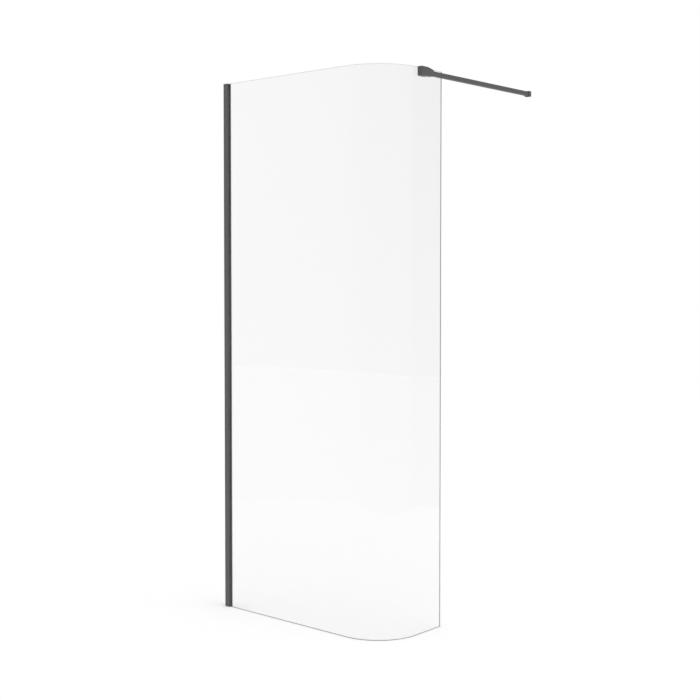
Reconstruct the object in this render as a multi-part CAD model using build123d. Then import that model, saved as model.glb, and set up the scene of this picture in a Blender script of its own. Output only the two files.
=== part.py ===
"""Curved walk-in shower screen with a telescopic wall profile and a brace bar.

Millimetres, +Z up. The origin is on the face of the side wall, at floor level, on the
middle plane of the straight glass. +X runs along the straight glass, away from the side
wall. The glass bends through a quarter turn and its short return runs along +Y, towards
the back wall, with the walk-in gap between the return's free edge and that wall.
"""

from build123d import *
import os

# Glass
GLASS_THICKNESS = 8.0
GLASS_HEIGHT = 2000.0
GLASS_RUN = 592.0
BEND_OUTER_RADIUS = 173.0
RETURN_RUN = 148.0
GLASS_ARRIS = 0.8

# Back wall, measured from the outer face of the straight glass
SCREEN_DEPTH = 875.0

# Wall channel, the outer half of the telescopic profile
CHANNEL_DEPTH = 22.0
CHANNEL_WIDTH = 22.0
CHANNEL_WALL = 1.8
CHANNEL_BASE = 2.0
CHANNEL_ROUND = 0.8
GUIDE_GROOVE_WIDTH = 1.6
GUIDE_GROOVE_DEPTH = 0.6
WALL_SCREW_HOLE = 5.5
WALL_SCREW_END = 100.0
WALL_SCREW_COUNT = 4

# Glass profile, which slides in the channel
PROFILE_TRAVEL = 8.0
PROFILE_CLEARANCE = 0.3
PROFILE_WALL = 1.5
PROFILE_WEB = 1.6
PROFILE_SETBACK = 3.0
PROFILE_RECESS = 0.5
PROFILE_RIB_WIDTH = 1.2
PROFILE_RIB_HEIGHT = 0.6
PROFILE_RIB_SETBACK = 1.8

# Gaskets between the glass profile and the glass
GASKET_REACH = 12.0
GASKET_LEAD = 1.3
GASKET_HEAD = 1.5
GASKET_HEAD_ROUND = 0.7
GASKET_HEAD_INSET = 0.4
GASKET_RIB_CLEARANCE = 0.1

# Nylon blocks behind the glass edge
BLOCK_THICKNESS = 2.0
BLOCK_LENGTH = 50.0
BLOCK_END = 150.0
BLOCK_COUNT = 3

# Screws that lock the glass profile, and their snap caps
LOCK_SCREW_DIAMETER = 3.0
LOCK_SCREW_HEAD = 5.5
LOCK_SCREW_HEAD_HEIGHT = 2.0
LOCK_SCREW_TIP_GAP = 0.3
LOCK_SCREW_HEAD_CHAMFER = 0.6
LOCK_SCREW_CROSS = 3.0
LOCK_SCREW_CROSS_WIDTH = 0.7
LOCK_SCREW_CROSS_DEPTH = 1.1
LOCK_SCREW_SETBACK = 4.6
LOCK_SCREW_END = 200.0
LOCK_SCREW_COUNT = 3
LOCK_SLOT_CLEARANCE = 0.35
SNAP_CAP_DIAMETER = 8.0
SNAP_CAP_WALL = 1.0
SNAP_CAP_TOP = 0.9
SNAP_CAP_CHAMFER = 0.8
SNAP_CAP_HEAD_ROOM = 0.2

# End caps of the wall channel
END_CAP_THICKNESS = 3.0
END_CAP_ROUND = 0.5
END_CAP_TONGUE = 12.0
END_CAP_TONGUE_CHAMFER = 0.8
END_CAP_TONGUE_CLEARANCE = 0.15
END_CAP_GLASS_CLEARANCE = 0.4
END_CAP_PROFILE_GAP = 0.3
END_CAP_WEB_GAP = 0.5

# Brace bar
BAR_SIZE = 16.0
BAR_WALL = 1.5
BAR_ROUND = 1.5
BAR_INNER_ROUND = 0.5
BAR_FIT = 0.08
BAR_DROP = 17.5
BAR_TRAVEL = 12.0
BAR_GRIP = 33.0

# Clamp on the return glass
CLAMP_TO_EDGE = 71.0
CLAMP_LENGTH = 70.0
CLAMP_HEEL_TOP = 1.0
CLAMP_HEEL_HEIGHT = 32.5
CLAMP_SHOULDER_LENGTH = 38.0
CLAMP_SHOULDER_DROP = 0.2
CLAMP_SHOULDER_SAG = 0.9
CLAMP_SOCKET_END_GAP = 1.0
CLAMP_SLEEVE_WALL = 2.0
CLAMP_INNER_WALL = 1.8
CLAMP_HEEL_ROUND = 5.0
CLAMP_EDGE_ROUND = 1.0
CLAMP_BRIDGE = 2.5
CLAMP_BRIDGE_SEAT = 7.0
CLAMP_JAW_LENGTH = 32.0
CLAMP_JAW_SETBACK = 12.0
CLAMP_JAW_THICKNESS = 9.0
CLAMP_JAW_DEPTH = 31.0
CLAMP_JAW_ROUND = 1.5
CLAMP_BRIDGE_ROUND = 1.5
CLAMP_PLATE = 2.0
CLAMP_PLATE_GAP = 0.4
CLAMP_PAD = 1.0
CLAMP_CUSHION = 1.0
CLAMP_PAD_MARGIN = 2.0
CLAMP_OUTER_PAD_LENGTH = 48.0
CLAMP_OUTER_PAD_DROP = 6.0
JAW_SCREW_DIAMETER = 6.0
JAW_SCREW_SPACING = 16.0
JAW_SCREW_DROP = 15.0
JAW_SCREW_KEY = 3.0
JAW_SCREW_RECESS = 0.5
BAR_SCREW_DIAMETER = 5.0
BAR_SCREW_SETBACK = 9.0
BAR_SCREW_SPACING = 14.0
BAR_SCREW_KEY = 2.5
BAR_SCREW_RECESS = 0.3
SCREW_FIT = 0.05
SCREW_CHAMFER = 0.4
SCREW_KEY_SHARE = 0.55

# Wall bracket of the bar
BRACKET_SIZE = 21.0
BRACKET_LENGTH = 17.0
BRACKET_BACK = 3.5
BRACKET_SCREW_ROOM = 4.0
BRACKET_ROUND = 1.4
BRACKET_FRONT_CHAMFER = 0.6
BRACKET_SCREW_HOLE = 5.2
BRACKET_SCREW_SETBACK = 5.0

# Places that the sizes give
glass_half = GLASS_THICKNESS / 2
channel_half = CHANNEL_WIDTH / 2
channel_inner_half = channel_half - CHANNEL_WALL
profile_half = channel_inner_half - PROFILE_CLEARANCE
profile_inner_half = profile_half - PROFILE_WALL
profile_back_x = CHANNEL_BASE + PROFILE_SETBACK
profile_mouth_x = CHANNEL_DEPTH - PROFILE_RECESS
glass_edge_x = profile_back_x + PROFILE_WEB + BLOCK_THICKNESS
rib_x = profile_mouth_x - PROFILE_RIB_SETBACK - PROFILE_RIB_WIDTH
bend_x = CHANNEL_DEPTH + GLASS_RUN
bend_y = BEND_OUTER_RADIUS - glass_half
return_outer_x = bend_x + BEND_OUTER_RADIUS
return_inner_x = return_outer_x - GLASS_THICKNESS
free_edge_y = bend_y + RETURN_RUN
wall_y = SCREEN_DEPTH - glass_half
profile_low_z = END_CAP_THICKNESS + END_CAP_PROFILE_GAP
profile_high_z = GLASS_HEIGHT - profile_low_z
lock_screw_x = CHANNEL_DEPTH - LOCK_SCREW_SETBACK
lock_screw_r = LOCK_SCREW_DIAMETER / 2

limb_inner_x = return_outer_x + CLAMP_PAD
bar_x = limb_inner_x + CLAMP_INNER_WALL + BAR_FIT + BAR_SIZE / 2
bar_z = GLASS_HEIGHT - BAR_DROP
sleeve_half = BAR_SIZE / 2 + BAR_FIT + CLAMP_SLEEVE_WALL
limb_outer_x = bar_x + sleeve_half
plate_outer_x = return_inner_x - CLAMP_PAD
plate_inner_x = plate_outer_x - CLAMP_PLATE
jaw_outer_x = plate_inner_x - CLAMP_PLATE_GAP
jaw_inner_x = jaw_outer_x - CLAMP_JAW_THICKNESS
clamp_far_y = free_edge_y - CLAMP_TO_EDGE
clamp_near_y = clamp_far_y - CLAMP_LENGTH
jaw_far_y = clamp_far_y - CLAMP_JAW_SETBACK
jaw_near_y = jaw_far_y - CLAMP_JAW_LENGTH
jaw_mid_y = (jaw_near_y + jaw_far_y) / 2
bridge_low_z = GLASS_HEIGHT + CLAMP_CUSHION
bridge_top_z = bridge_low_z + CLAMP_BRIDGE
jaw_low_z = bridge_top_z - CLAMP_JAW_DEPTH
heel_top_z = GLASS_HEIGHT + CLAMP_HEEL_TOP
heel_low_z = heel_top_z - CLAMP_HEEL_HEIGHT
bar_start_y = clamp_far_y - BAR_GRIP - BAR_TRAVEL
socket_y = bar_start_y - CLAMP_SOCKET_END_GAP
bracket_y = wall_y - BRACKET_LENGTH
bar_end_y = wall_y - BRACKET_BACK - BRACKET_SCREW_ROOM


def block(x0, x1, y0, y1, z0, z1):
    """A plain block between two corners."""
    middle = Pos((x0 + x1) / 2, (y0 + y1) / 2, (z0 + z1) / 2)
    return middle * Box(x1 - x0, y1 - y0, z1 - z0)


def upright(outline, z0, z1):
    """An outline drawn in plan, drawn up from z0 to z1."""
    return Pos(0, 0, z0) * extrude(outline, amount=z1 - z0)


def plan_rectangle(x0, x1, y0, y1):
    """A rectangle in plan between two corners."""
    return Pos((x0 + x1) / 2, (y0 + y1) / 2) * Rectangle(x1 - x0, y1 - y0)


def evenly(first, last, count):
    """Places from first to last, evenly apart."""
    return [first + (last - first) * i / (count - 1) for i in range(count)]


def group(solids):
    """Separate solids that share one name."""
    return Compound(children=[part.solid() for part in solids])


def square_section(size, corner):
    """A square with rounded corners, drawn on the XZ plane around the bar's axis."""
    return RectangleRounded(size, size, corner)


def along_bar(outline, y0, y1):
    """A section centred on the bar's axis, drawn along the bar from y0 to y1."""
    start = Plane(origin=(bar_x, y0, bar_z), x_dir=(1, 0, 0), z_dir=(0, 1, 0))
    return extrude(start * outline, amount=y1 - y0)


def set_screw(diameter, length, key, place, direction):
    """A headless screw with a hexagon socket, its tip at place and its body behind it."""
    tip = Plane(origin=place, z_dir=direction)
    radius = diameter / 2 - SCREW_FIT
    body = Cylinder(radius, length, align=(Align.CENTER, Align.CENTER, Align.MAX))
    rim = body.edges().group_by(Axis.Z)
    body = chamfer(rim[0] + rim[-1], min(SCREW_CHAMFER, length / 8))
    depth = length * SCREW_KEY_SHARE
    socket = extrude(RegularPolygon(key / 2, 6, major_radius=False), amount=depth)
    return tip * (body - Pos(0, 0, -length) * socket)


def wall_channel():
    """The extruded channel that is screwed to the side wall."""
    outer = plan_rectangle(0, CHANNEL_DEPTH, -channel_half, channel_half)
    mouth = outer.vertices().group_by(Axis.X)[-1]
    outer = fillet(mouth, min(CHANNEL_ROUND, CHANNEL_WALL * 0.45))
    hollow = plan_rectangle(
        CHANNEL_BASE, CHANNEL_DEPTH + 1, -channel_inner_half, channel_inner_half
    )
    groove = make_face(
        Polyline(
            (CHANNEL_BASE, GUIDE_GROOVE_WIDTH / 2),
            (CHANNEL_BASE - GUIDE_GROOVE_DEPTH, 0),
            (CHANNEL_BASE, -GUIDE_GROOVE_WIDTH / 2),
            close=True,
        )
    )
    section = outer - hollow - groove
    body = upright(section, END_CAP_THICKNESS, GLASS_HEIGHT - END_CAP_THICKNESS)
    for z in wall_screw_heights():
        hole = Cylinder(WALL_SCREW_HOLE / 2, CHANNEL_BASE * 3)
        body -= Pos(CHANNEL_BASE / 2, 0, z) * Rot(0, 90, 0) * hole
    for z in lock_screw_heights():
        hole = Cylinder(lock_screw_r, CHANNEL_WALL * 3)
        body -= Pos(lock_screw_x, channel_half - CHANNEL_WALL / 2, z) * Rot(90, 0, 0) * hole
    return body


def wall_screw_heights():
    """Heights of the holes for the wall screws."""
    return evenly(WALL_SCREW_END, GLASS_HEIGHT - WALL_SCREW_END, WALL_SCREW_COUNT)


def lock_screw_heights():
    """Heights of the screws that lock the glass profile."""
    return evenly(LOCK_SCREW_END, GLASS_HEIGHT - LOCK_SCREW_END, LOCK_SCREW_COUNT)


def glass_profile():
    """The extruded profile that holds the glass and slides in the channel."""
    outer = plan_rectangle(profile_back_x, profile_mouth_x, -profile_half, profile_half)
    pocket_x = profile_back_x + PROFILE_WEB
    pocket = plan_rectangle(
        pocket_x, profile_mouth_x + 1, -profile_inner_half, profile_inner_half
    )
    section = outer - pocket
    for side in (-1, 1):
        wall_y_in = side * profile_inner_half
        rib_y = side * (profile_inner_half - PROFILE_RIB_HEIGHT)
        section += make_face(
            Polyline(
                (rib_x, wall_y_in),
                (rib_x + PROFILE_RIB_WIDTH, wall_y_in),
                (rib_x + PROFILE_RIB_WIDTH, rib_y),
                close=True,
            )
        )
    body = upright(section, profile_low_z, profile_high_z)
    slot_r = lock_screw_r + LOCK_SLOT_CLEARANCE
    slot_length = PROFILE_TRAVEL + 2 * slot_r
    slot_x = lock_screw_x - PROFILE_TRAVEL / 2
    slot = extrude(SlotOverall(slot_length, 2 * slot_r), amount=PROFILE_WALL * 3, both=True)
    for z in lock_screw_heights():
        body -= Pos(slot_x, profile_half + PROFILE_WALL, z) * Rot(90, 0, 0) * slot
    return body


def gasket(side):
    """The strip on one side of the glass, with a rounded head over the profile's end."""
    low = glass_half
    high = profile_inner_half
    reach_x = profile_mouth_x - GASKET_REACH
    head_x = profile_mouth_x + GASKET_HEAD
    head_y = profile_half - GASKET_HEAD_INSET
    stem = plan_rectangle(reach_x, profile_mouth_x, low, high)
    corner = stem.vertices().group_by(Axis.X)[0].sort_by(Axis.Y)[-1]
    stem = chamfer(corner, min(GASKET_LEAD, (high - low) * 0.8))
    groove = make_face(
        Polyline(
            (rib_x - 3 * GASKET_RIB_CLEARANCE, high),
            (rib_x + PROFILE_RIB_WIDTH + GASKET_RIB_CLEARANCE, high),
            (
                rib_x + PROFILE_RIB_WIDTH + GASKET_RIB_CLEARANCE,
                high - PROFILE_RIB_HEIGHT - GASKET_RIB_CLEARANCE,
            ),
            close=True,
        )
    )
    head = plan_rectangle(profile_mouth_x, head_x, low, head_y)
    head = fillet(head.vertices().group_by(Axis.X)[-1], GASKET_HEAD_ROUND)
    section = (stem - groove) + head
    if side < 0:
        section = mirror(section, about=Plane.XZ)
    return upright(section, profile_low_z, profile_high_z)


def glass_outline():
    """The bent glass in plan: straight run, quarter bend and return."""
    inner_radius = BEND_OUTER_RADIUS - GLASS_THICKNESS
    middle = (bend_x, bend_y)
    return make_face(
        [
            Line((glass_edge_x, -glass_half), (bend_x, -glass_half)),
            CenterArc(middle, BEND_OUTER_RADIUS, -90, 90),
            Line((return_outer_x, bend_y), (return_outer_x, free_edge_y)),
            Line((return_outer_x, free_edge_y), (return_inner_x, free_edge_y)),
            Line((return_inner_x, free_edge_y), (return_inner_x, bend_y)),
            CenterArc(middle, inner_radius, -90, 90),
            Line((bend_x, glass_half), (glass_edge_x, glass_half)),
            Line((glass_edge_x, glass_half), (glass_edge_x, -glass_half)),
        ]
    )


def glass_panel():
    """The toughened glass, with its edges arrised."""
    body = upright(glass_outline(), 0, GLASS_HEIGHT)
    levels = body.edges().group_by(Axis.Z)
    uprights = body.edges().filter_by(Axis.Z)
    ends = uprights.group_by(Axis.X)[0] + uprights.group_by(Axis.Y)[-1]
    return chamfer(levels[0] + levels[-1] + ends, GLASS_ARRIS)


def setting_blocks():
    """Nylon blocks between the profile's web and the edge of the glass."""
    x0 = profile_back_x + PROFILE_WEB
    heights = evenly(BLOCK_END, GLASS_HEIGHT - BLOCK_END, BLOCK_COUNT)
    half = BLOCK_LENGTH / 2
    return group(
        [block(x0, glass_edge_x, -glass_half, glass_half, z - half, z + half) for z in heights]
    )


def lock_screws():
    """Pan-head screws through the channel's leg into the slots of the glass profile."""
    length = CHANNEL_WALL + PROFILE_CLEARANCE + PROFILE_WALL - LOCK_SCREW_TIP_GAP
    head = Cylinder(
        LOCK_SCREW_HEAD / 2,
        LOCK_SCREW_HEAD_HEIGHT,
        align=(Align.CENTER, Align.CENTER, Align.MIN),
    )
    head = chamfer(head.edges().group_by(Axis.Z)[-1], LOCK_SCREW_HEAD_CHAMFER)
    shank = Cylinder(
        lock_screw_r - SCREW_FIT, length, align=(Align.CENTER, Align.CENTER, Align.MAX)
    )
    screw = head + shank
    for angle in (0, 90):
        arm = Box(LOCK_SCREW_CROSS, LOCK_SCREW_CROSS_WIDTH, 2 * LOCK_SCREW_CROSS_DEPTH)
        screw -= Pos(0, 0, LOCK_SCREW_HEAD_HEIGHT) * Rot(0, 0, angle) * arm
    face = Rot(-90, 0, 0)
    return group(
        [Pos(lock_screw_x, channel_half, z) * face * screw for z in lock_screw_heights()]
    )


def lock_screw_caps():
    """Snap caps over the heads of the locking screws."""
    room = LOCK_SCREW_HEAD_HEIGHT + SNAP_CAP_HEAD_ROOM
    shell = Cylinder(
        SNAP_CAP_DIAMETER / 2,
        room + SNAP_CAP_TOP,
        align=(Align.CENTER, Align.CENTER, Align.MIN),
    )
    shell = chamfer(shell.edges().group_by(Axis.Z)[-1], SNAP_CAP_CHAMFER)
    hollow = Cylinder(
        SNAP_CAP_DIAMETER / 2 - SNAP_CAP_WALL,
        room,
        align=(Align.CENTER, Align.CENTER, Align.MIN),
    )
    cap = shell - hollow
    face = Rot(-90, 0, 0)
    return group([Pos(lock_screw_x, channel_half, z) * face * cap for z in lock_screw_heights()])


def end_cap():
    """The cap on the channel's top end: a plate that lets the glass pass, and a tongue."""
    plate = plan_rectangle(0, CHANNEL_DEPTH, -channel_half, channel_half)
    plate = fillet(plate.vertices().group_by(Axis.X)[-1], CHANNEL_ROUND)
    half = glass_half + END_CAP_GLASS_CLEARANCE
    gap = plan_rectangle(
        glass_edge_x - END_CAP_GLASS_CLEARANCE, CHANNEL_DEPTH + 1, -half, half
    )
    low = GLASS_HEIGHT - END_CAP_THICKNESS
    body = upright(plate - gap, low, GLASS_HEIGHT)
    rim = body.edges().group_by(Axis.Z)[-1]
    body = fillet([edge for edge in rim if edge.center().X > END_CAP_ROUND], END_CAP_ROUND)
    inset = END_CAP_TONGUE_CLEARANCE
    tongue = block(
        CHANNEL_BASE + inset,
        profile_back_x - END_CAP_WEB_GAP,
        -channel_inner_half + inset,
        channel_inner_half - inset,
        low - END_CAP_TONGUE,
        low,
    )
    tip = tongue.edges().group_by(Axis.Z)[0]
    return body + chamfer(tip, END_CAP_TONGUE_CHAMFER)


def bottom_end_cap():
    """The same cap, turned over for the channel's bottom end."""
    middle = Plane(origin=(0, 0, GLASS_HEIGHT / 2), z_dir=(0, 0, 1))
    return mirror(end_cap(), about=middle)


def clamp_limb():
    """The outer limb of the clamp, which tapers from its heel to the bar's sleeve."""
    sleeve_low = bar_z - sleeve_half
    sleeve_top = bar_z + sleeve_half
    shoulder_y = clamp_far_y - CLAMP_SHOULDER_LENGTH
    shoulder_z = heel_top_z - CLAMP_SHOULDER_DROP
    outline = make_face(
        [
            Line((clamp_near_y, heel_low_z), (clamp_far_y, sleeve_low)),
            Line((clamp_far_y, sleeve_low), (clamp_far_y, sleeve_top)),
            SagittaArc(
                (clamp_far_y, sleeve_top), (shoulder_y, shoulder_z), -CLAMP_SHOULDER_SAG
            ),
            Line((shoulder_y, shoulder_z), (clamp_near_y, heel_top_z)),
            Line((clamp_near_y, heel_top_z), (clamp_near_y, heel_low_z)),
        ]
    )
    limb = extrude(Plane.YZ.offset(limb_inner_x) * outline, amount=limb_outer_x - limb_inner_x)
    heel = limb.edges().filter_by(Axis.Z).group_by(Axis.Y)[0].sort_by(Axis.X)[-1]
    limb = fillet(heel, CLAMP_HEEL_ROUND)
    rim = limb.faces().sort_by(Axis.X)[-1].edges()
    long_edges = rim.filter_by(Axis.Z, reverse=True)
    end_edge = rim.filter_by(Axis.Z).sort_by(Axis.Y)[-1]
    return fillet(long_edges + [end_edge], min(CLAMP_EDGE_ROUND, CLAMP_SLEEVE_WALL * 0.8))


def clamp_body():
    """The cast clamp: limb, bridge over the glass and inner jaw, with the bar's socket."""
    limb = clamp_limb()
    seat_x = limb_inner_x + CLAMP_BRIDGE_SEAT
    jaw = block(jaw_inner_x, seat_x, jaw_near_y, jaw_far_y, jaw_low_z, bridge_top_z)
    corners = jaw.edges().filter_by(Axis.X)
    jaw = fillet(corners, CLAMP_JAW_ROUND)
    inner = jaw.edges().filter_by(Axis.Y).group_by(Axis.X)[0]
    jaw = fillet(inner.group_by(Axis.Z)[-1], CLAMP_BRIDGE_ROUND)
    slot = block(
        jaw_outer_x, limb_inner_x, jaw_near_y - 1, jaw_far_y + 1, jaw_low_z - 1, bridge_low_z
    )
    below_seat = block(
        limb_inner_x, seat_x + 1, jaw_near_y - 1, jaw_far_y + 1, jaw_low_z - 1, bar_z
    )
    body = limb + (jaw - slot - below_seat)
    socket_size = BAR_SIZE + 2 * BAR_FIT
    socket = square_section(socket_size, BAR_ROUND + BAR_FIT)
    body -= along_bar(socket, socket_y, clamp_far_y + 1)
    for y in jaw_screw_places():
        hole = Cylinder(JAW_SCREW_DIAMETER / 2, CLAMP_JAW_THICKNESS + 2)
        x = (jaw_inner_x + jaw_outer_x) / 2
        body -= Pos(x, y, bridge_top_z - JAW_SCREW_DROP) * Rot(0, 90, 0) * hole
    for y in bar_screw_places():
        hole = Cylinder(BAR_SCREW_DIAMETER / 2, CLAMP_HEEL_HEIGHT / 2)
        body -= Pos(bar_x, y, bar_z - sleeve_half) * hole
    return body


def jaw_screw_places():
    """Places along the return of the screws in the jaw."""
    return [jaw_mid_y - JAW_SCREW_SPACING / 2, jaw_mid_y + JAW_SCREW_SPACING / 2]


def bar_screw_places():
    """Places along the return of the screws that hold the bar."""
    near = clamp_far_y - BAR_SCREW_SETBACK - BAR_SCREW_SPACING
    return [near, near + BAR_SCREW_SPACING]


def clamp_plate():
    """The steel plate that the jaw screws press towards the glass."""
    m = CLAMP_PAD_MARGIN
    return block(
        plate_inner_x,
        plate_outer_x,
        jaw_near_y + m,
        jaw_far_y - m,
        jaw_low_z + m,
        GLASS_HEIGHT - m,
    )


def clamp_inner_pad():
    """The rubber pad between the steel plate and the glass."""
    m = CLAMP_PAD_MARGIN
    return block(
        plate_outer_x,
        return_inner_x,
        jaw_near_y + m,
        jaw_far_y - m,
        jaw_low_z + m,
        GLASS_HEIGHT - m,
    )


def clamp_outer_pad():
    """The rubber pad between the clamp's limb and the glass."""
    m = CLAMP_PAD_MARGIN
    return block(
        return_outer_x,
        limb_inner_x,
        clamp_near_y + m,
        clamp_near_y + m + CLAMP_OUTER_PAD_LENGTH,
        bar_z - sleeve_half + m,
        GLASS_HEIGHT - CLAMP_OUTER_PAD_DROP,
    )


def clamp_top_cushion():
    """The rubber strip between the top edge of the glass and the bridge."""
    m = CLAMP_PAD_MARGIN
    return block(
        return_inner_x,
        return_outer_x,
        jaw_near_y + m,
        jaw_far_y - m,
        GLASS_HEIGHT,
        bridge_low_z,
    )


def clamp_jaw_screws():
    """Set screws in the jaw, which press on the steel plate."""
    z = bridge_top_z - JAW_SCREW_DROP
    length = plate_inner_x - jaw_inner_x - JAW_SCREW_RECESS
    return group(
        [
            set_screw(
                JAW_SCREW_DIAMETER, length, JAW_SCREW_KEY, (plate_inner_x, y, z), (1, 0, 0)
            )
            for y in jaw_screw_places()
        ]
    )


def clamp_bar_screws():
    """Set screws under the clamp, which hold the bar."""
    tip_z = bar_z - BAR_SIZE / 2 - BAR_FIT / 2
    places = bar_screw_places()
    taper = (bar_z - sleeve_half - heel_low_z) / CLAMP_LENGTH
    shallow_z = heel_low_z + taper * (places[-1] - clamp_near_y)
    length = tip_z - shallow_z - BAR_SCREW_RECESS
    return group(
        [
            set_screw(BAR_SCREW_DIAMETER, length, BAR_SCREW_KEY, (bar_x, y, tip_z), (0, 0, 1))
            for y in places
        ]
    )


def support_bar():
    """The square tube from the clamp to the bracket on the back wall."""
    tube = square_section(BAR_SIZE, BAR_ROUND)
    tube -= square_section(BAR_SIZE - 2 * BAR_WALL, BAR_INNER_ROUND)
    return along_bar(tube, bar_start_y, bar_end_y)


def wall_bracket():
    """The socket on the back wall that takes the bar's end and hides its own screw."""
    body = along_bar(square_section(BRACKET_SIZE, BRACKET_ROUND), bracket_y, wall_y)
    front = body.edges().group_by(Axis.Y)[0]
    body = chamfer(front, BRACKET_FRONT_CHAMFER)
    socket = square_section(BAR_SIZE + 2 * BAR_FIT, BAR_ROUND + BAR_FIT)
    body -= along_bar(socket, bracket_y - 1, wall_y - BRACKET_BACK)
    hole = Cylinder(BRACKET_SCREW_HOLE / 2, BRACKET_BACK * 3)
    body -= Pos(bar_x, wall_y - BRACKET_BACK / 2, bar_z) * Rot(90, 0, 0) * hole
    lock = Cylinder(BAR_SCREW_DIAMETER / 2, BRACKET_SIZE / 2)
    y = bracket_y + BRACKET_SCREW_SETBACK
    return body - Pos(bar_x, y, bar_z - BRACKET_SIZE / 2) * lock


def bracket_screw():
    """The set screw under the bracket, which holds the bar."""
    tip_z = bar_z - BAR_SIZE / 2 - BAR_FIT / 2
    length = tip_z - (bar_z - BRACKET_SIZE / 2) - BAR_SCREW_RECESS
    y = bracket_y + BRACKET_SCREW_SETBACK
    return set_screw(BAR_SCREW_DIAMETER, length, BAR_SCREW_KEY, (bar_x, y, tip_z), (0, 0, 1))


pieces = {
    "wall_channel": wall_channel(),
    "channel_top_cap": end_cap(),
    "channel_bottom_cap": bottom_end_cap(),
    "lock_screws": lock_screws(),
    "lock_screw_caps": lock_screw_caps(),
    "glass_profile": glass_profile(),
    "glass_panel": glass_panel(),
    "outer_gasket": gasket(-1),
    "inner_gasket": gasket(1),
    "setting_blocks": setting_blocks(),
    "clamp_body": clamp_body(),
    "clamp_plate": clamp_plate(),
    "clamp_inner_pad": clamp_inner_pad(),
    "clamp_outer_pad": clamp_outer_pad(),
    "clamp_top_cushion": clamp_top_cushion(),
    "clamp_jaw_screws": clamp_jaw_screws(),
    "clamp_bar_screws": clamp_bar_screws(),
    "support_bar": support_bar(),
    "wall_bracket": wall_bracket(),
    "bracket_screw": bracket_screw(),
}

os.makedirs("parts", exist_ok=True)
for name, shape in pieces.items():
    export_step(shape, f"parts/{name}.step")
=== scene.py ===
"""Looks of a curved walk-in shower screen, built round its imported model.

Metres, +Z up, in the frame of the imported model: the origin is on the side wall at floor
level, +X runs along the straight glass and +Y along its return, towards the back wall.
"""

import math

import bpy
from bpy.props import (
    FloatProperty,
    FloatVectorProperty,
    IntProperty,
    PointerProperty,
)
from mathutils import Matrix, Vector


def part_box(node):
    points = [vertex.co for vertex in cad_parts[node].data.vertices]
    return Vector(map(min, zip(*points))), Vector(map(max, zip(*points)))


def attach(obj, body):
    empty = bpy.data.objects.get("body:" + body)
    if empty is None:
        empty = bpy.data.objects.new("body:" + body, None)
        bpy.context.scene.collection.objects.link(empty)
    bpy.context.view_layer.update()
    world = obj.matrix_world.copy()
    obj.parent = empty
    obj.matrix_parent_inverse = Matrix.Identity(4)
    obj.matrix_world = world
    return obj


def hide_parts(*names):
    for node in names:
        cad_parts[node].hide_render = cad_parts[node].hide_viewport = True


bl_info = {
    "name": "Curved Shower Screen",
    "version": (1, 0, 0),
    "blender": (4, 5, 0),
    "location": "View3D > Sidebar > Shower Screen",
    "description": "Bent glass, powder-coated profiles, clamp and brace bar of a walk-in shower",
    "category": "Object",
}

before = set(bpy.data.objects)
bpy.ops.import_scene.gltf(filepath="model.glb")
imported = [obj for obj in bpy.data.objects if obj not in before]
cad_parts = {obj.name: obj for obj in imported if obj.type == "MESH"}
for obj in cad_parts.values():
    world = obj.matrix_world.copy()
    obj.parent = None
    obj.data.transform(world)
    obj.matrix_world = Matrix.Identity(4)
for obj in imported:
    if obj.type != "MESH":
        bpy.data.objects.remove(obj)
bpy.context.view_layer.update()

MM = 0.001
QUARTER = math.pi / 2
WHOLE_TURN = 2 * math.pi
WHITE = (1.0, 1.0, 1.0, 1.0)
BLACK = (0.0, 0.0, 0.0, 1.0)
GLASS_IOR = 1.52
SENSOR_WIDTH = 36.0
LAMP_ANGLE = math.radians(50)
KEY_SIDE = (-0.5, -0.6, 1.0)
FILL_SIDE = (1.0, 0.1, 0.9)

glass_low, glass_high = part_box("glass_panel")


class Value:
    """A node's output. Operators on it add Math nodes to its tree."""

    def __init__(self, graph, socket):
        self.graph = graph
        self.socket = socket

    def math(self, operation, *others):
        """A Math node with this value as its first input."""
        inputs = {i: value for i, value in enumerate((self, *others))}
        return self.graph.node("ShaderNodeMath", {"operation": operation}, inputs)

    def __add__(self, other):
        return self.math("ADD", other)

    def __radd__(self, other):
        return self.math("ADD", other)

    def __sub__(self, other):
        return self.math("SUBTRACT", other)

    def __rsub__(self, other):
        inputs = {0: other, 1: self}
        return self.graph.node("ShaderNodeMath", {"operation": "SUBTRACT"}, inputs)

    def __mul__(self, other):
        return self.math("MULTIPLY", other)

    def __rmul__(self, other):
        return self.math("MULTIPLY", other)

    def __truediv__(self, other):
        return self.math("DIVIDE", other)

    def __gt__(self, other):
        return self.math("GREATER_THAN", other)

    def __lt__(self, other):
        return self.math("LESS_THAN", other)

    def __abs__(self):
        return self.math("ABSOLUTE")

    def between(self, low, high):
        """This value, kept between two others."""
        return self.math("MAXIMUM", low).math("MINIMUM", high)


class Graph:
    """A node tree that is written as expressions."""

    def __init__(self, tree):
        self.tree = tree

    def node(self, kind, settings=None, inputs=None, output=0):
        """A node of any type: its settings first, then its sockets by name or number."""
        made = self.tree.nodes.new(kind)
        for name, value in (settings or {}).items():
            setattr(made, name, value)
        for key, value in (inputs or {}).items():
            if isinstance(value, Value):
                self.tree.links.new(value.socket, made.inputs[key])
            else:
                made.inputs[key].default_value = value
        return Value(self, made.outputs[output])

    def outputs(self, value, *names):
        """Other outputs of the node that a value comes from."""
        return [Value(self, value.socket.node.outputs[name]) for name in names]

    def split(self, vector):
        """The three parts of a vector."""
        return self.outputs(self.node("ShaderNodeSeparateXYZ", inputs={0: vector}), 0, 1, 2)

    def join(self, x, y, z):
        """A vector from its three parts."""
        return self.node("ShaderNodeCombineXYZ", inputs={0: x, 1: y, 2: z})


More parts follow.
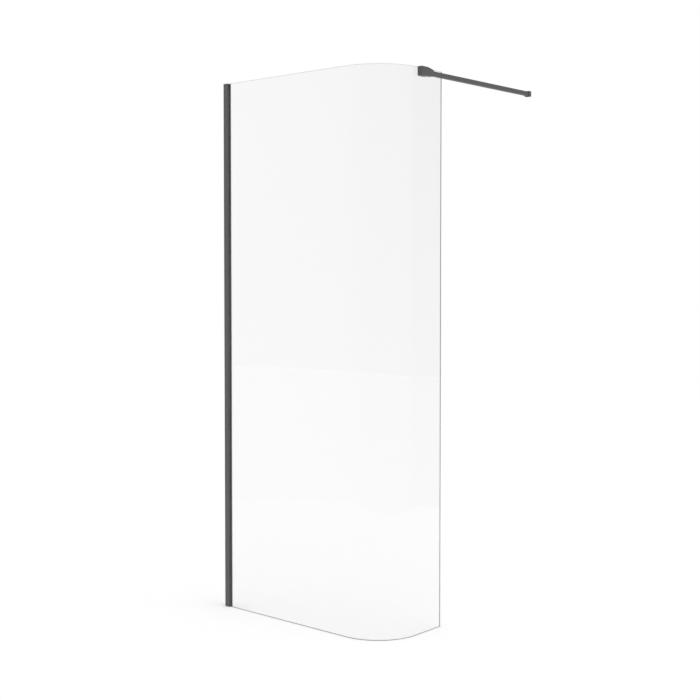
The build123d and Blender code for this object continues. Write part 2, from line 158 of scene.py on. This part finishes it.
class Material(Graph):
    """A procedural material on one Principled shader, in the object's own coordinates."""

    def __init__(self, name, **uniform):
        self.made = bpy.data.materials.new(name)
        self.made.use_nodes = True
        super().__init__(self.made.node_tree)
        self.shader = next(n for n in self.tree.nodes if n.type == "BSDF_PRINCIPLED")
        for key, value in uniform.items():
            self.shader.inputs[key.replace("_", " ")].default_value = value
        self.place = self.node("ShaderNodeTexCoord", output="Object")

    def output(self):
        """The shader itself, to mix with another."""
        return Value(self, self.shader.outputs[0])

    def show(self, first, second, factor):
        """Shows the second shader instead of the first, as far as the factor says."""
        shown = self.node("ShaderNodeMixShader", inputs={0: factor, 1: first, 2: second})
        surface = next(n for n in self.tree.nodes if n.type == "OUTPUT_MATERIAL")
        self.tree.links.new(shown.socket, surface.inputs["Surface"])

    def feed(self, name, value):
        """Links a value to a socket of the shader."""
        self.tree.links.new(value.socket, self.shader.inputs[name])

    def noise(self, scale, detail, stretch=(1.0, 1.0, 1.0)):
        """Noise with that many lumps to the metre, stretched along the axes."""
        settings = {"vector_type": "POINT"}
        inputs = {"Vector": self.place, "Scale": stretch}
        mapped = self.node("ShaderNodeMapping", settings, inputs)
        inputs = {"Vector": mapped, "Scale": scale, "Detail": detail}
        return self.node("ShaderNodeTexNoise", inputs=inputs)

    def mottle(self, factor, colour, darker, lighter):
        """Feeds the base colour, which a factor makes darker or lighter."""
        inputs = {0: factor, 6: shade(colour, darker), 7: shade(colour, lighter)}
        mixed = self.node("ShaderNodeMix", {"data_type": "RGBA"}, inputs, output=2)
        self.feed("Base Color", mixed)

    def roughen(self, least, *parts):
        """Feeds the roughness: its least value, and the share that each noise adds."""
        total = least
        for share, noise in parts:
            total = total + share * noise
        self.feed("Roughness", total)

    def bump(self, height, depth, strength):
        """Feeds a height to the shader's normal."""
        inputs = {"Height": height, "Distance": depth, "Strength": strength}
        self.feed("Normal", self.node("ShaderNodeBump", inputs=inputs))

    def glow(self, level):
        """Feeds an even light, which the material gives off."""
        self.feed("Emission Color", self.join(level, level, level))


def shade(colour, factor):
    """A colour made lighter or darker, with full alpha."""
    return (*[min(1.0, part * factor) for part in colour[:3]], 1.0)


class GlassSizes(bpy.types.PropertyGroup):
    """Sizes and finish of the bent glass."""

    bend_radius: FloatProperty(
        name="Bend radius",
        description="Outer radius of the glass's quarter bend",
        default=0.173,
        min=0.02,
        unit="LENGTH",
        subtype="DISTANCE",
    )
    arris: FloatProperty(
        name="Arris",
        description="Width of the ground chamfer along each edge of the glass",
        default=0.0008,
        min=0.0001,
        unit="LENGTH",
        subtype="DISTANCE",
    )
    segments: IntProperty(
        name="Segments",
        description="Rows of faces along the glass",
        default=240,
        min=24,
    )
    tint: FloatVectorProperty(
        name="Tint",
        description="Colour that the glass gives to what is seen through it",
        default=(0.95, 0.953, 0.951),
        size=3,
        min=0.0,
        max=1.0,
        subtype="COLOR",
    )
    shade: FloatVectorProperty(
        name="Shade",
        description="Light that gets through the glass to what is behind it",
        default=(0.957, 0.96, 0.958),
        size=3,
        min=0.0,
        max=1.0,
        subtype="COLOR",
    )
    # Dark grey of the ground edges: partly their dull worked finish, partly painted shade.
    edge_colour_and_shade: FloatVectorProperty(
        name="Edge colour",
        description="Colour of the ground edges",
        default=(0.3, 0.31, 0.305),
        size=3,
        min=0.0,
        max=1.0,
        subtype="COLOR",
    )
    # Pale grey of the top edge: partly its polished finish, partly a painted highlight.
    top_colour_and_highlight: FloatVectorProperty(
        name="Top edge colour",
        description="Colour of the polished top edge",
        default=(0.75, 0.77, 0.76),
        size=3,
        min=0.0,
        max=1.0,
        subtype="COLOR",
    )
    edge_roughness: FloatProperty(
        name="Edge roughness",
        description="Roughness of the ground and polished edges",
        default=0.5,
        min=0.0,
        max=1.0,
        subtype="FACTOR",
    )


class MetalFinish(bpy.types.PropertyGroup):
    """Powder coat of the profiles, clamp, bar and bracket."""

    colour: FloatVectorProperty(
        name="Coat colour",
        description="Colour of the powder coat",
        default=(0.116, 0.116, 0.118),
        size=3,
        min=0.0,
        max=1.0,
        subtype="COLOR",
    )
    roughness: FloatProperty(
        name="Coat roughness",
        description="How matt the powder coat is",
        default=0.42,
        min=0.0,
        max=1.0,
        subtype="FACTOR",
    )
    peel: FloatProperty(
        name="Orange peel",
        description="Width of the lumps that the coat dries with",
        default=0.0011,
        min=0.0002,
        unit="LENGTH",
        subtype="DISTANCE",
    )


class TrimFinish(bpy.types.PropertyGroup):
    """Colours of the plastic, rubber, steel and nylon pieces."""

    plastic: FloatVectorProperty(
        name="Plastic",
        description="Colour of the moulded end caps and snap caps",
        default=(0.108, 0.108, 0.11),
        size=3,
        min=0.0,
        max=1.0,
        subtype="COLOR",
    )
    rubber: FloatVectorProperty(
        name="Rubber",
        description="Colour of the gaskets and pads",
        default=(0.1, 0.1, 0.102),
        size=3,
        min=0.0,
        max=1.0,
        subtype="COLOR",
    )
    steel: FloatVectorProperty(
        name="Steel",
        description="Colour of the screws and the clamp's plate",
        default=(0.6, 0.6, 0.6),
        size=3,
        min=0.0,
        max=1.0,
        subtype="COLOR",
    )
    nylon: FloatVectorProperty(
        name="Nylon",
        description="Colour of the setting blocks",
        default=(0.82, 0.82, 0.78),
        size=3,
        min=0.0,
        max=1.0,
        subtype="COLOR",
    )


class ScrewSizes(bpy.types.PropertyGroup):
    """Sizes of the set screws and of the snap caps."""

    pitch: FloatProperty(
        name="Thread pitch",
        description="Distance between the turns of a set screw's thread",
        default=0.0008,
        min=0.0002,
        unit="LENGTH",
        subtype="DISTANCE",
    )
    key_share: FloatProperty(
        name="Key share",
        description="Width across the flats of a screw's socket, as a share of its diameter",
        default=0.5,
        min=0.2,
        max=0.7,
    )
    cap_rim: FloatProperty(
        name="Cap rim",
        description="Height of the straight rim under a snap cap's dome",
        default=0.0005,
        min=0.0001,
        unit="LENGTH",
        subtype="DISTANCE",
    )


class StudioSettings(bpy.types.PropertyGroup):
    """Camera place, floor and light."""

    camera_place: FloatVectorProperty(
        name="Camera place",
        description="Where the camera stands",
        default=(3.3666, -3.124, 1.265),
        size=3,
        unit="LENGTH",
        subtype="TRANSLATION",
    )
    camera_turn: FloatProperty(
        name="Camera turn",
        description="Turn of the view from +Y towards -X",
        default=math.radians(41.224),
        unit="ROTATION",
        subtype="ANGLE",
    )
    camera_pitch: FloatProperty(
        name="Camera pitch",
        description="Tilt of the camera below the horizon",
        default=math.radians(1.96),
        unit="ROTATION",
        subtype="ANGLE",
    )
    lens: FloatProperty(
        name="Lens",
        description="Focal length in millimetres",
        default=61.354,
        min=1.0,
    )
    shift: FloatProperty(
        name="Vertical shift",
        description="Shift of the lens, which keeps the uprights nearly parallel",
        default=-0.045,
    )
    floor_colour: FloatVectorProperty(
        name="Floor colour",
        description="Colour of the plain floor",
        default=(0.9, 0.9, 0.9),
        size=3,
        min=0.0,
        max=1.0,
        subtype="COLOR",
    )
    floor_lift: FloatProperty(
        name="Floor lift",
        description="Light that the floor adds for the camera, so that it meets the backdrop",
        default=0.204,
        min=0.0,
    )
    sky: FloatProperty(
        name="Sky",
        description="Strength of the even light from all round",
        default=0.7,
        min=0.0,
    )
    key: FloatProperty(
        name="Key lamp",
        description="Strength of the soft lamp from the left",
        default=0.15,
        min=0.0,
    )
    fill: FloatProperty(
        name="Fill lamp",
        description="Strength of the soft lamp from the right",
        default=0.8,
        min=0.0,
    )


def finish(name):
    """The material of that name, from those that the finishes step has made."""
    return bpy.data.materials[name]


def powder_coat(settings):
    """Satin powder coat: even colour with fine lumps and a little orange peel."""
    coat = Material("powder_coat", Specular_IOR_Level=0.3)
    peel_scale = 1 / settings.peel
    pore_scale = 4 * peel_scale
    peel = coat.noise(peel_scale, detail=1.5)
    pores = coat.noise(pore_scale, detail=1.0)
    drift = coat.noise(9.0, detail=3.0)
    coat.mottle(drift, settings.colour, darker=0.93, lighter=1.07)
    coat.roughen(settings.roughness - 0.05, (0.07, peel), (0.03, drift))
    coat.bump(peel + 0.25 * pores, depth=0.05 * MM, strength=0.35)
    return coat.made


def moulded_plastic(settings):
    """Moulded plastic with a fine spark-eroded texture."""
    plastic = Material("moulded_plastic")
    grain = plastic.noise(4200.0, detail=2.0)
    flow = plastic.noise(40.0, detail=2.0)
    plastic.mottle(flow, settings.plastic, darker=0.92, lighter=1.08)
    plastic.roughen(0.46, (0.1, grain))
    plastic.bump(grain, depth=0.04 * MM, strength=0.4)
    return plastic.made


def extruded_rubber(settings):
    """Matt rubber with faint lines along its length."""
    rubber = Material("extruded_rubber")
    lines = rubber.noise(1500.0, detail=1.0, stretch=(1.0, 1.0, 0.01))
    bloom = rubber.noise(60.0, detail=3.0)
    rubber.mottle(bloom, settings.rubber, darker=0.85, lighter=1.2)
    rubber.roughen(0.7, (0.12, bloom))
    rubber.bump(lines, depth=0.05 * MM, strength=0.4)
    return rubber.made


def stainless_steel(settings):
    """Plain stainless steel with fine turning marks."""
    steel = Material("stainless_steel", Metallic=1.0)
    marks = steel.noise(6000.0, detail=1.0, stretch=(1.0, 1.0, 0.2))
    stain = steel.noise(150.0, detail=2.0)
    steel.mottle(stain, settings.steel, darker=0.9, lighter=1.1)
    steel.roughen(0.24, (0.12, marks))
    steel.bump(marks, depth=0.01 * MM, strength=0.3)
    return steel.made


def natural_nylon(settings):
    """Natural nylon, slightly mottled."""
    nylon = Material("natural_nylon")
    clouds = nylon.noise(120.0, detail=3.0)
    grain = nylon.noise(3000.0, detail=1.0)
    nylon.mottle(clouds, settings.nylon, darker=0.94, lighter=1.03)
    nylon.roughen(0.4, (0.1, grain))
    nylon.bump(grain, depth=0.03 * MM, strength=0.3)
    return nylon.made


def clear_glass(settings):
    """Clear toughened glass that lets lamps and dull light through to what is behind it."""
    glass = Material(
        "clear_glass",
        Roughness=0.0,
        Transmission_Weight=1.0,
        IOR=GLASS_IOR,
        Base_Color=(*settings.tint, 1.0),
    )
    shadow = glass.node("ShaderNodeLightPath", output="Is Shadow Ray")
    (diffuse,) = glass.outputs(shadow, "Is Diffuse Ray")
    film = glass.node("ShaderNodeBsdfTransparent", inputs={"Color": (*settings.shade, 1.0)})
    glass.show(glass.output(), film, shadow.math("MAXIMUM", diffuse))
    return glass.made


def glass_edge(name, colour, roughness):
    """A worked edge of the glass, dull with fine grinding marks; its colour also carries painted
    shade on the ground edges and a painted highlight on the top edge.
    """
    edge = Material(name, IOR=GLASS_IOR)
    grit = edge.noise(5000.0, detail=2.0)
    clouds = edge.noise(30.0, detail=2.0)
    edge.mottle(clouds, colour, darker=0.9, lighter=1.1)
    edge.roughen(roughness - 0.08, (0.16, grit))
    edge.bump(grit, depth=0.03 * MM, strength=0.5)
    return edge.made


def make_finishes(scene):
    """Makes each material of the object once."""
    powder_coat(scene.screen_metal)
    for trim in (moulded_plastic, extruded_rubber, stainless_steel, natural_nylon):
        trim(scene.screen_trim)
    glass = scene.screen_glass
    clear_glass(glass)
    # The ground edges get a dark grey that is partly painted shade, the top edge a pale grey
    # that is partly a painted highlight.
    glass_edge("ground_edge", glass.edge_colour_and_shade, glass.edge_roughness)
    glass_edge("polished_edge", glass.top_colour_and_highlight, glass.edge_roughness)


def dress(material, *nodes):
    """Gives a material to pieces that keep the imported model's shape."""
    for name in nodes:
        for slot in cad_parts[name].material_slots:
            slot.material = finish(material)


class Recipe(Graph):
    """A Geometry Nodes tree with named inputs, used once and turned into a plain mesh."""

    def __init__(self, name):
        super().__init__(bpy.data.node_groups.new(name, "GeometryNodeTree"))
        self.name = name
        self.entry = self.tree.nodes.new("NodeGroupInput")
        self.exit = self.tree.nodes.new("NodeGroupOutput")
        self.tree.interface.new_socket(
            "Geometry", in_out="OUTPUT", socket_type="NodeSocketGeometry"
        )
        self.values = {}

    def input(self, name, value, kind="NodeSocketFloat"):
        """A named input of the tree, with the value that this object gives it."""
        socket = self.tree.interface.new_socket(name, in_out="INPUT", socket_type=kind)
        self.values[socket.identifier] = value
        return Value(self, self.entry.outputs[name])

    def material(self, name, label="Material"):
        """A named input for a material."""
        return self.input(label, finish(name), "NodeSocketMaterial")

    def smooth(self, mesh, angle=math.radians(30)):
        """Smooth shading, with edges sharper than an angle kept sharp."""
        faces = self.node(
            "GeometryNodeSetShadeSmooth",
            {"domain": "FACE"},
            {"Geometry": mesh, "Shade Smooth": True},
        )
        soft = self.node("GeometryNodeInputMeshEdgeAngle") < angle
        return self.node(
            "GeometryNodeSetShadeSmooth",
            {"domain": "EDGE"},
            {"Geometry": faces, "Shade Smooth": soft},
        )

    def close(self, mesh, material, *patches):
        """Ends the tree in real geometry with its material, and others where a mask says."""
        real = self.node("GeometryNodeRealizeInstances", inputs={"Geometry": mesh})
        painted = self.node(
            "GeometryNodeSetMaterial", inputs={"Geometry": real, "Material": material}
        )
        for mask, patch in patches:
            painted = self.node(
                "GeometryNodeSetMaterial",
                inputs={"Geometry": painted, "Selection": mask, "Material": patch},
            )
        self.tree.links.new(painted.socket, self.exit.inputs[0])

    def bake(self, name):
        """Runs the tree and returns its result as a plain mesh object at the origin."""
        holder = bpy.data.objects.new(name, bpy.data.meshes.new(name))
        bpy.context.scene.collection.objects.link(holder)
        modifier = holder.modifiers.new(self.name, "NODES")
        modifier.node_group = self.tree
        for identifier, value in self.values.items():
            modifier[identifier] = value
        graph = bpy.context.evaluated_depsgraph_get()
        mesh = bpy.data.meshes.new_from_object(holder.evaluated_get(graph))
        holder.modifiers.remove(modifier)
        while mesh.materials[0] is None:
            mesh.materials.pop(index=0)
        holder.data = mesh
        mesh.name = name
        return holder


def place_piece(piece, body, slot, *nodes):
    """Hands a finished piece to the frame: its body and what it stands for, whose imported
    pieces it hides. Its slot, the finish it stands in for, is not used.
    """
    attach(piece, body)
    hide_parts(*nodes)


def to_arris(part, size, rows, arris):
    """How far out a slab's rows go in one direction, and which of them are the outer ones.

    The outer rows stay, and the rows next to them move out to where the arris begins.
    """
    half = size / 2
    row = size / rows
    outer = abs(part) > half - 0.5 * row
    next_row = (abs(part) > half - 1.5 * row) - outer
    reach = abs(part) + next_row * (half - arris - abs(part))
    return part, reach, outer


def bent_glass_recipe(settings):
    """A flat slab whose rows are moved to its arrises, then bent round the quarter turn."""
    recipe = Recipe("Bent glass")
    straight = recipe.input("Straight Run", glass_high.x - settings.bend_radius - glass_low.x)
    radius = recipe.input("Outer Bend Radius", settings.bend_radius)
    back = recipe.input("Return Run", glass_high.y - glass_low.y - settings.bend_radius)
    thickness = recipe.input("Thickness", -2 * glass_low.y)
    height = recipe.input("Height", glass_high.z - glass_low.z)
    arris = recipe.input("Arris", settings.arris)
    start = recipe.input("Wall Edge", glass_low.x)
    segments = recipe.input("Segments", settings.segments, "NodeSocketInt")
    material = recipe.material("clear_glass")
    shaded_edge_material = recipe.material("ground_edge", "Edge Material")
    highlighted_top_material = recipe.material("polished_edge", "Top Edge Material")

    middle_radius = radius - thickness / 2
    arc = middle_radius * QUARTER
    length = straight + arc + back
    rows_across = 3
    slab = recipe.node(
        "GeometryNodeMeshCube",
        inputs={
            "Size": recipe.join(length, thickness, height),
            "Vertices X": segments + 1,
            "Vertices Y": rows_across + 1,
            "Vertices Z": rows_across + 1,
        },
    )
    x, y, z = recipe.split(recipe.node("GeometryNodeInputPosition"))
    edged = [
        to_arris(x, length, segments, arris),
        to_arris(y, thickness, rows_across, arris),
        to_arris(z, height, rows_across, arris),
    ]
    faces_met = edged[0][2] + edged[1][2] + edged[2][2]
    at_edge = faces_met > 1.5
    cut = at_edge * arris / 2
    x, y, z = [part.math("SIGN") * (reach - outer * cut) for part, reach, outer in edged]

    along = x + length / 2
    turn = ((along - straight) / middle_radius).between(0.0, QUARTER)
    sine = turn.math("SINE")
    cosine = turn.math("COSINE")
    before = along.math("MINIMUM", straight)
    beyond = (along - straight - arc).math("MAXIMUM", 0.0)
    bent = recipe.join(
        start + before + (middle_radius - y) * sine + beyond * cosine,
        middle_radius - (middle_radius - y) * cosine + beyond * sine,
        z + height / 2,
    )
    shaped = recipe.node("GeometryNodeSetPosition", inputs={"Geometry": slab, "Position": bent})

    x, y, z = recipe.split(recipe.node("GeometryNodeInputPosition"))
    # The wall, free and bottom edges take the dark ground edge, partly painted shade; the top
    # edge takes the pale polished edge, partly a painted highlight.
    free_edge = y > radius + back - arris - thickness / 2
    wall_edge = x < start + arris
    ground = free_edge.math("MAXIMUM", wall_edge).math("MAXIMUM", z < arris)
    top = z > height - arris
    smoothed = recipe.smooth(shaped)
    recipe.close(smoothed, material, (ground, shaded_edge_material), (top, highlighted_top_material))
    return recipe


def turned_grid(recipe, sides, rows):
    """A flat grid to be rolled up: its turn round the axis and its row's number."""
    grid = recipe.node(
        "GeometryNodeMeshGrid",
        inputs={"Size X": 1.0, "Size Y": 1.0, "Vertices X": sides + 1, "Vertices Y": rows + 1},
    )
    x, y, _ = recipe.split(recipe.node("GeometryNodeInputPosition"))
    return grid, (x + 0.5) * WHOLE_TURN, (y + 0.5) * rows


def repeated(recipe, grid, place, count, step, material):
    """Rolls the grid up, closes its seam and repeats it along a line."""
    seam = 0.002 * MM
    rolled = recipe.node("GeometryNodeSetPosition", inputs={"Geometry": grid, "Position": place})
    closed = recipe.node(
        "GeometryNodeMergeByDistance", inputs={"Geometry": rolled, "Distance": seam}
    )
    line = recipe.node("GeometryNodeMeshLine", inputs={"Count": count, "Offset": step})
    copies = recipe.node(
        "GeometryNodeInstanceOnPoints",
        inputs={"Points": line, "Instance": recipe.smooth(closed)},
    )
    recipe.close(copies, material)


def set_screws(settings, node, axis, count):
    """Threaded set screws with a hexagon socket in their low end, beside each other along Y."""
    low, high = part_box(node)
    across = 2 - axis
    size = (high[across] - low[across]) / 2
    step = (high.y - low.y - 2 * size) / max(1, count - 1)
    recipe = Recipe("Set screws")
    radius = recipe.input("Radius", size)
    length = recipe.input("Length", high[axis] - low[axis])
    pitch = recipe.input("Pitch", settings.pitch)
    flats = recipe.input("Key", 2 * size * settings.key_share)
    spacing = recipe.input("Spacing", step)
    number = recipe.input("Count", count, "NodeSocketInt")
    material = recipe.material("stainless_steel")

    # Row 0 is the top end's middle. The thread's rows are 1 to last. The three rows after
    # them are the socket's mouth, the socket's floor and the middle of that floor.
    sides = 24
    rows_per_pitch = 6
    thread_rows = rows_per_pitch * round((high[axis] - low[axis]) / settings.pitch)
    last = thread_rows + 1
    grid, turn, row = turned_grid(recipe, sides, last + 3)
    in_socket = row > last + 0.5
    on_socket_floor = row > last + 1.5
    off_axis = (row > 0.5) * (row < last + 2.5)

    depth = 0.55 * pitch
    chamfer = 1.2 * depth
    socket_depth = 0.9
    height = length * ((row - 1) / thread_rows).between(0.0, 1.0)
    flank = abs(2 * (height / pitch - turn / WHOLE_TURN).math("FRACT") - 1)
    from_end = height.math("MINIMUM", length - height)
    body = (radius - depth * flank).math("MINIMUM", radius - chamfer + from_end)
    side_turn = WHOLE_TURN / 6
    corner = (turn / side_turn).math("FRACT") * side_turn - side_turn / 2
    socket = flats / 2 / corner.math("COSINE")
    reach = off_axis * (body + in_socket * (socket - body))
    along = high[axis] - (height - on_socket_floor * flats * socket_depth)
    side = reach * turn.math("COSINE")
    front = (low.y + size) + reach * turn.math("SINE")
    middle = (low[across] + high[across]) / 2
    if axis == 0:
        place = recipe.join(along, front, side + middle)
    else:
        place = recipe.join(middle - side, front, along)
    repeated(recipe, grid, place, number, recipe.join(0.0, spacing, 0.0), material)
    return recipe


def snap_caps(settings):
    """Domed caps over the lock screws, three up the wall channel."""
    low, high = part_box("lock_screw_caps")
    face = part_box("wall_channel")[1].y
    size = (high.x - low.x) / 2
    count = 3
    recipe = Recipe("Snap caps")
    radius = recipe.input("Radius", size)
    rise = recipe.input("Height", high.y - face)
    rim = recipe.input("Rim", settings.cap_rim)
    spacing = recipe.input("Spacing", (high.z - low.z - 2 * size) / (count - 1))
    number = recipe.input("Count", count, "NodeSocketInt")
    material = recipe.material("moulded_plastic")

    # The dome's rows are 0 to dome_rows. The two rows after them are the rim's foot and
    # the middle of the cap's flat back.
    sides = 32
    dome_rows = 10
    grid, turn, row = turned_grid(recipe, sides, dome_rows + 2)
    on_dome = row < dome_rows + 0.5
    off_axis = row < dome_rows + 1.5
    bend = (row / dome_rows).math("MINIMUM", 1.0) * QUARTER
    reach = radius * bend.math("SINE") * off_axis
    height = rim * on_dome + (rise - rim) * bend.math("COSINE")
    place = recipe.join(
        (low.x + high.x) / 2 + reach * turn.math("COSINE"),
        face + height,
        (low.z + size) + reach * turn.math("SINE"),
    )
    repeated(recipe, grid, place, number, recipe.join(0.0, 0.0, spacing), material)
    return recipe


class SCREEN_OT_finishes(bpy.types.Operator):
    """Makes the materials of all the pieces"""

    bl_idname = "shower_screen.finishes"
    bl_label = "Finishes"

    def execute(self, context):
        make_finishes(context.scene)
        return {"FINISHED"}


class SCREEN_OT_glass(bpy.types.Operator):
    """Makes the bent glass"""

    bl_idname = "shower_screen.glass"
    bl_label = "Bent glass"

    def execute(self, context):
        panel = bent_glass_recipe(context.scene.screen_glass).bake("bent_glass")
        place_piece(panel, "screen", "glass", "glass_panel")
        return {"FINISHED"}


class SCREEN_OT_wall_profile(bpy.types.Operator):
    """Finishes the wall channel, the glass profile and what is in them"""

    bl_idname = "shower_screen.wall_profile"
    bl_label = "Wall profile"

    def execute(self, context):
        dress("powder_coat", "wall_channel", "glass_profile")
        dress("moulded_plastic", "channel_top_cap", "channel_bottom_cap")
        dress("extruded_rubber", "outer_gasket", "inner_gasket")
        dress("natural_nylon", "setting_blocks")
        dress("stainless_steel", "lock_screws")
        caps = snap_caps(context.scene.screen_screws).bake("domed_snap_caps")
        place_piece(caps, "wall_side", "trim_plastic", "lock_screw_caps")
        return {"FINISHED"}


class SCREEN_OT_clamp(bpy.types.Operator):
    """Finishes the clamp at the top of the return"""

    bl_idname = "shower_screen.clamp"
    bl_label = "Clamp"

    def execute(self, context):
        dress("powder_coat", "clamp_body")
        dress("stainless_steel", "clamp_plate")
        dress("extruded_rubber", "clamp_inner_pad", "clamp_outer_pad", "clamp_top_cushion")
        sizes = context.scene.screen_screws
        jaw = set_screws(sizes, "clamp_jaw_screws", 0, 2).bake("jaw_set_screws")
        place_piece(jaw, "screen", "steel", "clamp_jaw_screws")
        bar = set_screws(sizes, "clamp_bar_screws", 2, 2).bake("bar_set_screws")
        place_piece(bar, "screen", "steel", "clamp_bar_screws")
        return {"FINISHED"}


class SCREEN_OT_brace_bar(bpy.types.Operator):
    """Finishes the brace bar and its wall bracket"""

    bl_idname = "shower_screen.brace_bar"
    bl_label = "Brace bar"

    def execute(self, context):
        dress("powder_coat", "support_bar", "wall_bracket")
        screw = set_screws(context.scene.screen_screws, "bracket_screw", 2, 1)
        place_piece(screw.bake("bracket_set_screw"), "bar", "steel", "bracket_screw")
        return {"FINISHED"}


def seen_rays(graph):
    """1 for the rays that show the background: camera, glossy and transmission rays.

    Rays that light a dull surface through the glass count as light, as any other does.
    """
    camera = graph.node("ShaderNodeLightPath", output="Is Camera Ray")
    names = ("Is Glossy Ray", "Is Transmission Ray", "Diffuse Depth")
    glossy, passing, dull_bounces = graph.outputs(camera, *names)
    return camera.math("MAXIMUM", glossy).math("MAXIMUM", passing) * (dull_bounces < 0.5)


def make_floor(settings):
    """A plain pale floor that keeps the object's shadow."""
    half = 9.0
    drop = 0.5 * MM
    corners = [(-half, -half), (half, -half), (half, half), (-half, half)]
    mesh = bpy.data.meshes.new("floor")
    mesh.from_pydata([(x, y, -drop) for x, y in corners], [], [(0, 1, 2, 3)])
    floor = bpy.data.objects.new("floor", mesh)
    bpy.context.scene.collection.objects.link(floor)
    paint = Material(
        "pale_floor",
        Roughness=0.9,
        Base_Color=(*settings.floor_colour, 1.0),
        Specular_IOR_Level=0.0,
        Emission_Strength=1.0,
    )
    paint.glow(settings.floor_lift * seen_rays(paint))
    mesh.materials.append(paint.made)


def make_world(settings):
    """An even pale sky, white where it is seen."""
    world = bpy.data.worlds.new("studio")
    world.use_nodes = True
    bpy.context.scene.world = world
    graph = Graph(world.node_tree)
    background = next(n for n in graph.tree.nodes if n.type == "BACKGROUND")
    background.inputs["Color"].default_value = WHITE
    strength = settings.sky + (1.0 - settings.sky) * seen_rays(graph)
    graph.tree.links.new(strength.socket, background.inputs["Strength"])


def soft_lamp(name, side, strength):
    """A far soft lamp on one side, which lights the floor evenly."""
    data = bpy.data.lights.new(name, "SUN")
    data.energy = strength
    data.angle = LAMP_ANGLE
    lamp = bpy.data.objects.new(name, data)
    lamp.rotation_euler = Vector(side).to_track_quat("Z", "Y").to_euler()
    lamp.visible_glossy = False
    bpy.context.scene.collection.objects.link(lamp)


def make_surround():
    """A round grey screen that only reflections show, paler to the left and low down."""
    radius = 2.6
    height = 6.0
    sides = 64
    centre = Vector((0.4, 0.2, 0.0))
    ring = [
        centre + radius * Vector((math.cos(turn), math.sin(turn), 0.0))
        for turn in [WHOLE_TURN * i / sides for i in range(sides)]
    ]
    points = ring + [point + Vector((0.0, 0.0, height)) for point in ring]
    walls = [(i, (i + 1) % sides, (i + 1) % sides + sides, i + sides) for i in range(sides)]
    mesh = bpy.data.meshes.new("surround")
    mesh.from_pydata(points, [], walls)
    screen = bpy.data.objects.new("surround", mesh)
    bpy.context.scene.collection.objects.link(screen)
    for ray in ("camera", "diffuse", "volume_scatter", "shadow"):
        setattr(screen, "visible_" + ray, False)
    paint = Material(
        "surround",
        Roughness=1.0,
        Base_Color=BLACK,
        Specular_IOR_Level=0.0,
        Emission_Strength=1.0,
    )
    x, _, z = paint.split(paint.place)
    white_from, fade = -2.0, 0.8
    at_floor, per_metre, least = 0.8, 0.2, 0.3
    left = (-fade * (x - white_from)).math("EXPONENT").math("MINIMUM", 1.0)
    low = (at_floor - per_metre * z).math("MAXIMUM", least)
    paint.glow(low + left * (1.0 - low))
    mirrored = paint.node("ShaderNodeLightPath", output="Glossy Depth")
    (dull_bounces,) = paint.outputs(mirrored, "Diffuse Depth")
    clear = paint.node("ShaderNodeBsdfTransparent")
    paint.show(clear, paint.output(), (mirrored > 0.5) * (dull_bounces < 0.5))
    mesh.materials.append(paint.made)


def make_camera(settings):
    """The camera at the photograph's viewing angle."""
    data = bpy.data.cameras.new("camera")
    data.lens = settings.lens
    data.sensor_width = SENSOR_WIDTH
    data.shift_y = settings.shift
    camera = bpy.data.objects.new("camera", data)
    camera.location = settings.camera_place
    camera.rotation_euler = (QUARTER - settings.camera_pitch, 0.0, settings.camera_turn)
    bpy.context.scene.collection.objects.link(camera)
    bpy.context.scene.camera = camera


class SCREEN_OT_stage(bpy.types.Operator):
    """Makes the floor, the light and the camera"""

    bl_idname = "shower_screen.stage"
    bl_label = "Stage"

    def execute(self, context):
        settings = context.scene.screen_studio
        context.scene.view_settings.view_transform = "Standard"
        make_floor(settings)
        make_world(settings)
        make_surround()
        soft_lamp("key_lamp", KEY_SIDE, settings.key)
        soft_lamp("fill_lamp", FILL_SIDE, settings.fill)
        make_camera(settings)
        return {"FINISHED"}


class SCREEN_PT_panel(bpy.types.Panel):
    """Lists the steps that make the object"""

    bl_idname = "SCREEN_PT_panel"
    bl_label = "Shower Screen"
    bl_space_type = "VIEW_3D"
    bl_region_type = "UI"
    bl_category = "Shower Screen"

    def draw(self, context):
        for operator in OPERATORS:
            self.layout.operator(operator.bl_idname)


GROUPS = {
    "screen_glass": GlassSizes,
    "screen_metal": MetalFinish,
    "screen_trim": TrimFinish,
    "screen_screws": ScrewSizes,
    "screen_studio": StudioSettings,
}
OPERATORS = (
    SCREEN_OT_finishes,
    SCREEN_OT_glass,
    SCREEN_OT_wall_profile,
    SCREEN_OT_clamp,
    SCREEN_OT_brace_bar,
    SCREEN_OT_stage,
)


def register():
    """Registers the settings, the operators and the panel."""
    for cls in (*GROUPS.values(), *OPERATORS, SCREEN_PT_panel):
        bpy.utils.register_class(cls)
    for name, group in GROUPS.items():
        setattr(bpy.types.Scene, name, PointerProperty(type=group))


def unregister():
    """Takes the panel, the operators and the settings away again."""
    for name in GROUPS:
        delattr(bpy.types.Scene, name)
    for cls in (SCREEN_PT_panel, *reversed(OPERATORS), *reversed(GROUPS.values())):
        bpy.utils.unregister_class(cls)


def main():
    """Makes the object and its stage."""
    register()
    for operator in OPERATORS:
        area, name = operator.bl_idname.split(".")
        getattr(getattr(bpy.ops, area), name)()


if __name__ == "__main__":
    main()
